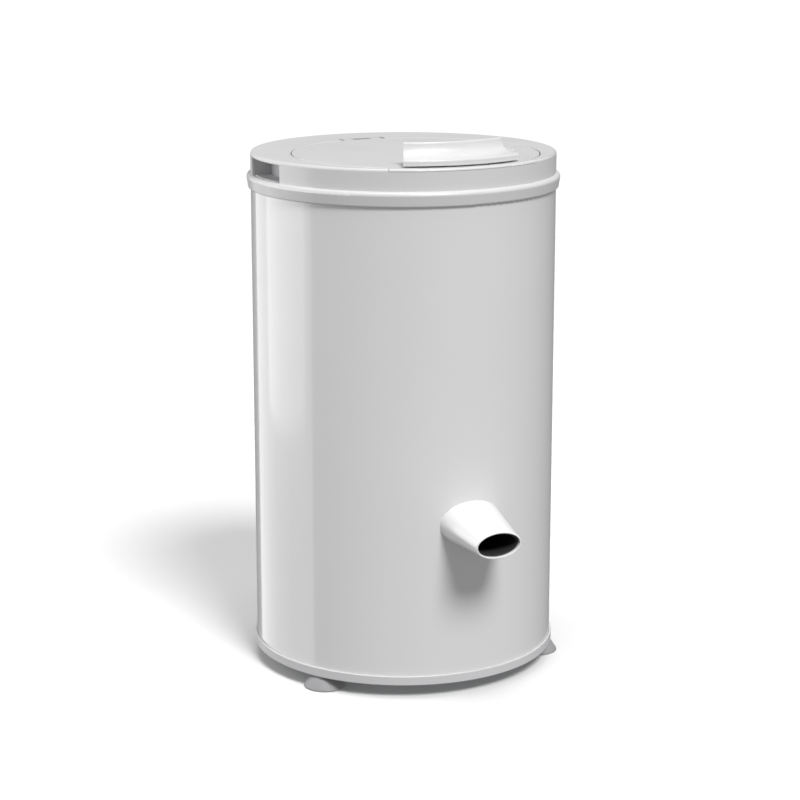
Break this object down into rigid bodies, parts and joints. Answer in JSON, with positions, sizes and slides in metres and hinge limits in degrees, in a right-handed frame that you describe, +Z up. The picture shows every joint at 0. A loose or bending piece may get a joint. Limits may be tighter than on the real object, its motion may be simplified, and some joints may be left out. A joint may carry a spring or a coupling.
{
  "type": "laundry spin dryer",
  "caption": "Free-standing top-loading laundry spin dryer with a round hinged lid, sliding latch handle, spinning drum and drain spout on suction feet.",
  "frame": {"origin": "floor level, in the middle of the object's footprint; the drum's axis stands 26.5 mm behind it", "axes": "+Z up, -Y toward the drain spout and latch, +X to the right seen from the front"},
  "size_m": [0.345, 0.407, 0.5998],
  "materials": {
    "casing_paint": "fine-grained light grey powder coat on sheet steel",
    "cover_plastic": "light grey moulded plastic, satin gloss",
    "inner_plastic": "light grey moulded plastic, matte",
    "spout_plastic": "white gloss plastic",
    "ring_plastic": "mid grey plastic, matte",
    "foot_rubber": "grey rubber",
    "black_rubber": "black rubber",
    "drum_steel": "stainless steel, turned and polished",
    "tub_plastic": "grey moulded plastic, smooth",
    "zinc_steel": "zinc-plated steel",
    "screw_steel": "bright steel",
    "motor_aluminium": "die-cast aluminium",
    "motor_iron": "iron laminations and cast iron",
    "motor_copper": "varnished copper wire",
    "black_plastic": "black plastic",
    "red_plastic": "red plastic"
  },
  "bodies": {
    "chassis": {"base_pan": "zinc_steel", "base_ring": "ring_plastic", "brake_cable": "black_plastic", "brake_pivot": "screw_steel", "brake_spring": "zinc_steel", "cable_bracket": "zinc_steel", "cable_clips": "zinc_steel", "capacitor": "black_plastic", "capacitor_clamp": "zinc_steel", "casing": "casing_paint", "collar_seal": "black_rubber", "cord_gland": "black_plastic", "cover_band": "cover_plastic", "cover_tray": "cover_plastic", "drain_boot": "black_rubber", "feet": "foot_rubber", "foot_screws": "screw_steel", "grip_pockets": "inner_plastic", "hinge_bracket": "zinc_steel", "hinge_pin": "screw_steel", "latch_housing": "inner_plastic", "lid_switch": "black_plastic", "loading_funnel": "inner_plastic", "motor_bearings": "screw_steel", "motor_bolts": "screw_steel", "motor_cradle": "zinc_steel", "motor_lower_bell": "motor_aluminium", "motor_stator": "motor_iron", "motor_upper_bell": "motor_aluminium", "motor_windings": "motor_copper", "mount_bolts": "screw_steel", "pillars": "zinc_steel", "post_screws": "screw_steel", "rubber_mounts": "black_rubber", "shaft_seal": "black_rubber", "spout": "spout_plastic", "terminal_box": "black_plastic", "top_cover": "cover_plastic", "tub_posts": "zinc_steel", "tub_ring": "inner_plastic", "water_tub": "tub_plastic"},
    "lid": {"lid_shell": "cover_plastic", "lid_inner_panel": "inner_plastic", "lid_seal": "black_rubber", "lid_screws": "screw_steel"},
    "latch": {"latch_handle": "cover_plastic", "latch_tongue": "inner_plastic"},
    "spinner": {"drive_shaft": "screw_steel", "rotor": "motor_iron", "brake_drum": "motor_iron", "drum_wall": "drum_steel", "drum_floor": "drum_steel", "drum_hub": "motor_aluminium", "drum_nut": "screw_steel", "drum_cone": "inner_plastic"},
    "lock_slider": {"lock_slider": "inner_plastic"},
    "brake_arm": {"brake_lever": "zinc_steel", "brake_shoe": "black_plastic", "brake_wire": "zinc_steel"},
    "switch_button": {"switch_button": "red_plastic"}
  },
  "joints": [
    {"name": "lid_hinge", "type": "hinge", "parent": "chassis", "child": "lid", "pos_m": [0, 0.1385, 0.5725], "axis": [-1, 0, 0], "range_deg": [0, 95]},
    {"name": "latch_slide", "type": "hinge", "parent": "lid", "child": "latch", "pos_m": [0, 0.0265, 0.577], "axis": [0, 0, -1], "range_deg": [0, 8.5]},
    {"name": "drum_spin", "type": "hinge", "parent": "chassis", "child": "spinner", "pos_m": [0, 0.0265, 0.2], "axis": [0, 0, 1], "continuous": true},
    {"name": "lock_travel", "type": "hinge", "parent": "chassis", "child": "lock_slider", "pos_m": [0, 0.0265, 0.555], "axis": [0, 0, -1], "range_deg": [0, 8.5]},
    {"name": "brake_swing", "type": "hinge", "parent": "chassis", "child": "brake_arm", "pos_m": [0.05609, -0.00266, 0.14], "axis": [0, 0, -1], "range_deg": [0, 1.2]},
    {"name": "button_travel", "type": "slide", "parent": "chassis", "child": "switch_button", "axis": [-0.9887, -0.1501, 0], "range_m": [0, 0.0025]}
  ],
  "couplings": [
    {"joint": "lock_travel", "follows": "latch_slide", "ratio": 1},
    {"joint": "brake_swing", "follows": "latch_slide", "ratio": 0.141},
    {"joint": "button_travel", "follows": "latch_slide", "m_per_rad": 0.0168}
  ]
}
